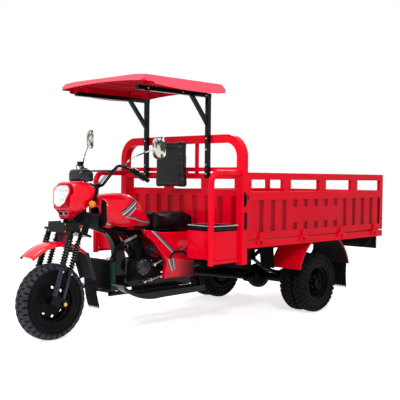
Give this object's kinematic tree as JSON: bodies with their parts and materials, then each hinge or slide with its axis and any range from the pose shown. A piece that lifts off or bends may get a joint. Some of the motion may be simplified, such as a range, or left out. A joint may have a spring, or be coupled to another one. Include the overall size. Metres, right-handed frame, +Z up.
{
  "type": "motor cargo tricycle",
  "caption": "Three-wheeled motor cargo tricycle: motorcycle front, rider's canopy, drop-side load bed with windowed gates and twin rear wheels.",
  "frame": {"origin": "on the ground under the middle of the overall length and width", "axes": "+X forward along the length, +Y to the rider's left across the width, +Z up"},
  "size_m": [3.6928, 1.492, 1.9499],
  "materials": {
    "red_paint": "gloss",
    "black_paint": "gloss",
    "black_plastic": "satin",
    "black_vinyl": "satin vinyl",
    "flap_rubber": "matte",
    "tyre_rubber": "matte",
    "silver_plastic": "silver",
    "clear_lens": "clear",
    "amber_lens": "translucent",
    "red_lens": "translucent",
    "cast_metal": "cast",
    "steel_pipe": "dull"
  },
  "bodies": {
    "frame": {"front_frame": "black_paint", "engine_cradle": "black_paint", "chassis_rails": "black_paint", "cross_members": "black_paint", "engine_block": "cast_metal", "radiator": "black_paint", "fuel_tank": "red_paint", "rider_seat": "black_vinyl", "seat_back": "black_vinyl", "side_covers": "red_paint", "footboards": "black_paint", "foot_levers": "black_paint", "seat_boxes": "red_paint", "side_seats": "black_vinyl", "guard_rails": "red_paint", "bed_floor": "red_paint", "bed_front_wall": "red_paint", "headboard_hoop": "red_paint", "headboard_bars": "red_paint", "canopy_frame": "black_paint", "canopy_roof": "red_paint", "rear_axle": "black_paint", "leaf_springs": "black_paint", "propeller_shaft": "black_paint", "exhaust": "steel_pipe", "rear_fenders": "red_paint", "rear_mud_flaps": "flap_rubber", "tail_board": "red_paint", "tail_lamps": "red_lens"},
    "steering": {"fork": "black_paint", "fork_springs": "black_paint", "front_fender": "red_paint", "front_mud_flap": "flap_rubber", "headlight_nacelle": "red_paint", "headlight_lens": "clear_lens", "front_board": "black_paint", "meter_pod": "black_plastic", "turn_signals": "amber_lens", "handlebar": "black_paint", "grips": "black_plastic", "hand_levers": "black_paint", "mirrors": "silver_plastic"},
    "front_wheel": {"front_tyre": "tyre_rubber", "front_rim": "black_paint"},
    "rear_wheel_left": {"rear_tyres_left": "tyre_rubber", "rear_rims_left": "black_paint"},
    "rear_wheel_right": {"rear_tyres_right": "tyre_rubber", "rear_rims_right": "black_paint"},
    "gate_left": {"side_gate_left": "red_paint", "gate_rail_left": "red_paint"},
    "gate_right": {"side_gate_right": "red_paint", "gate_rail_right": "red_paint"},
    "gate_tail": {"tailgate": "red_paint"}
  },
  "joints": [
    {"name": "steer", "type": "hinge", "parent": "frame", "child": "steering", "pos_m": [1.365, 0, 0.75], "axis": [-0.3173, 0, 0.9483], "range_deg": [-35, 35]},
    {"name": "front_wheel_spin", "type": "hinge", "parent": "steering", "child": "front_wheel", "pos_m": [1.565, 0, 0.28], "axis": [0, 1, 0], "continuous": true},
    {"name": "rear_wheel_left_spin", "type": "hinge", "parent": "frame", "child": "rear_wheel_left", "pos_m": [-0.792, 0.572, 0.265], "axis": [0, 1, 0], "continuous": true},
    {"name": "rear_wheel_right_spin", "type": "hinge", "parent": "frame", "child": "rear_wheel_right", "pos_m": [-0.792, -0.572, 0.265], "axis": [0, 1, 0], "continuous": true},
    {"name": "side_gate_left_fold", "type": "hinge", "parent": "frame", "child": "gate_left", "pos_m": [-0.7925, 0.735, 0.6945], "axis": [-1, 0, 0], "range_deg": [0, 178]},
    {"name": "side_gate_right_fold", "type": "hinge", "parent": "frame", "child": "gate_right", "pos_m": [-0.7925, -0.735, 0.6945], "axis": [1, 0, 0], "range_deg": [0, 178]},
    {"name": "tailgate_fold", "type": "hinge", "parent": "frame", "child": "gate_tail", "pos_m": [-1.837, 0, 0.6945], "axis": [0, -1, 0], "range_deg": [0, 178]}
  ]
}
